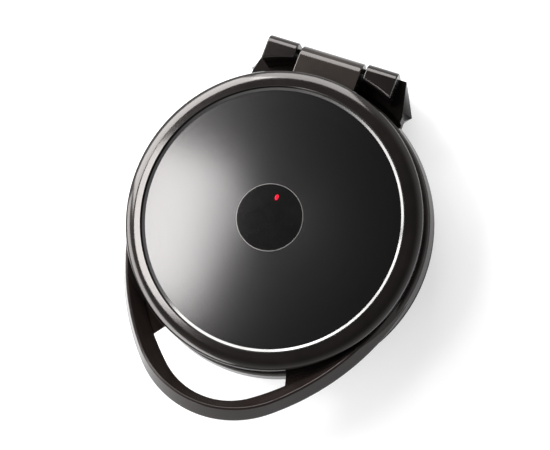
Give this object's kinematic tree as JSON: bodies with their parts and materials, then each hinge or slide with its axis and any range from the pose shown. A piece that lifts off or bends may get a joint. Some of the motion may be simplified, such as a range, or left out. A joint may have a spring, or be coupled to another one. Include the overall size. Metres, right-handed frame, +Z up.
{
  "type": "electric pizza maker",
  "caption": "Round gloss black countertop pizza maker with a brushed metal lid panel, a rising loop handle, a hinge that opens and floats, and two heated plates.",
  "frame": {"origin": "on the table, under the middle of the overall length and width", "axes": "+Z up from the table, +Y from the plates' centre to the hinge, -Y to the handle, +X to the right seen from above with the hinge at the top"},
  "size_m": [0.363, 0.439, 0.1298],
  "materials": {
    "black_gloss": "high gloss",
    "black_matte": "fine texture",
    "rubber_black": "matte",
    "cover_steel": "satin black",
    "screw_steel": "plated",
    "plate_coated": "dark non-stick coating",
    "tray_steel": "bright rolled",
    "element_sheath": "heat darkened",
    "capsule_steel": "satin",
    "ceramic": "unglazed ceramic",
    "yoke_steel": "plated",
    "brushed_dark": "dark circular brushing",
    "badge_dark": "gloss",
    "lens_red": "clear red"
  },
  "bodies": {
    "base": {"base_shell": "black_gloss", "cord_bushing": "rubber_black", "bottom_cover": "cover_steel", "bottom_screws": "screw_steel", "rubber_feet": "rubber_black", "lower_plate": "plate_coated", "lower_plate_screws": "screw_steel", "lower_reflector": "tray_steel", "lower_element": "element_sheath", "lower_thermostat": "capsule_steel", "thermal_fuse": "capsule_steel", "terminal_block": "ceramic", "hinge_housing": "black_gloss", "housing_floor": "black_matte", "housing_floor_screws": "screw_steel", "housing_screws": "screw_steel"},
    "hinge_carriage": {"hinge_yoke": "yoke_steel", "hinge_cap_left": "black_gloss", "hinge_cap_right": "black_gloss", "hinge_pin": "yoke_steel", "pin_clips": "screw_steel"},
    "lid": {"lid_ring": "black_gloss", "lid_panel": "brushed_dark", "badge": "badge_dark", "indicator_lens": "lens_red", "lens_holder": "black_matte", "lid_frame": "black_gloss", "upper_plate": "plate_coated", "upper_plate_screws": "screw_steel", "upper_element": "element_sheath", "upper_reflector": "tray_steel", "upper_thermostat": "capsule_steel", "frame_screws": "screw_steel", "hinge_arm": "black_gloss", "arm_screws": "screw_steel"}
  },
  "joints": [
    {"name": "hinge_float", "type": "slide", "parent": "base", "child": "hinge_carriage", "axis": [0, 0, 1], "range_m": [0, 0.02]},
    {"name": "lid_hinge", "type": "hinge", "parent": "hinge_carriage", "child": "lid", "pos_m": [0, 0.2035, 0.082], "axis": [-1, 0, 0], "range_deg": [0, 105]}
  ]
}
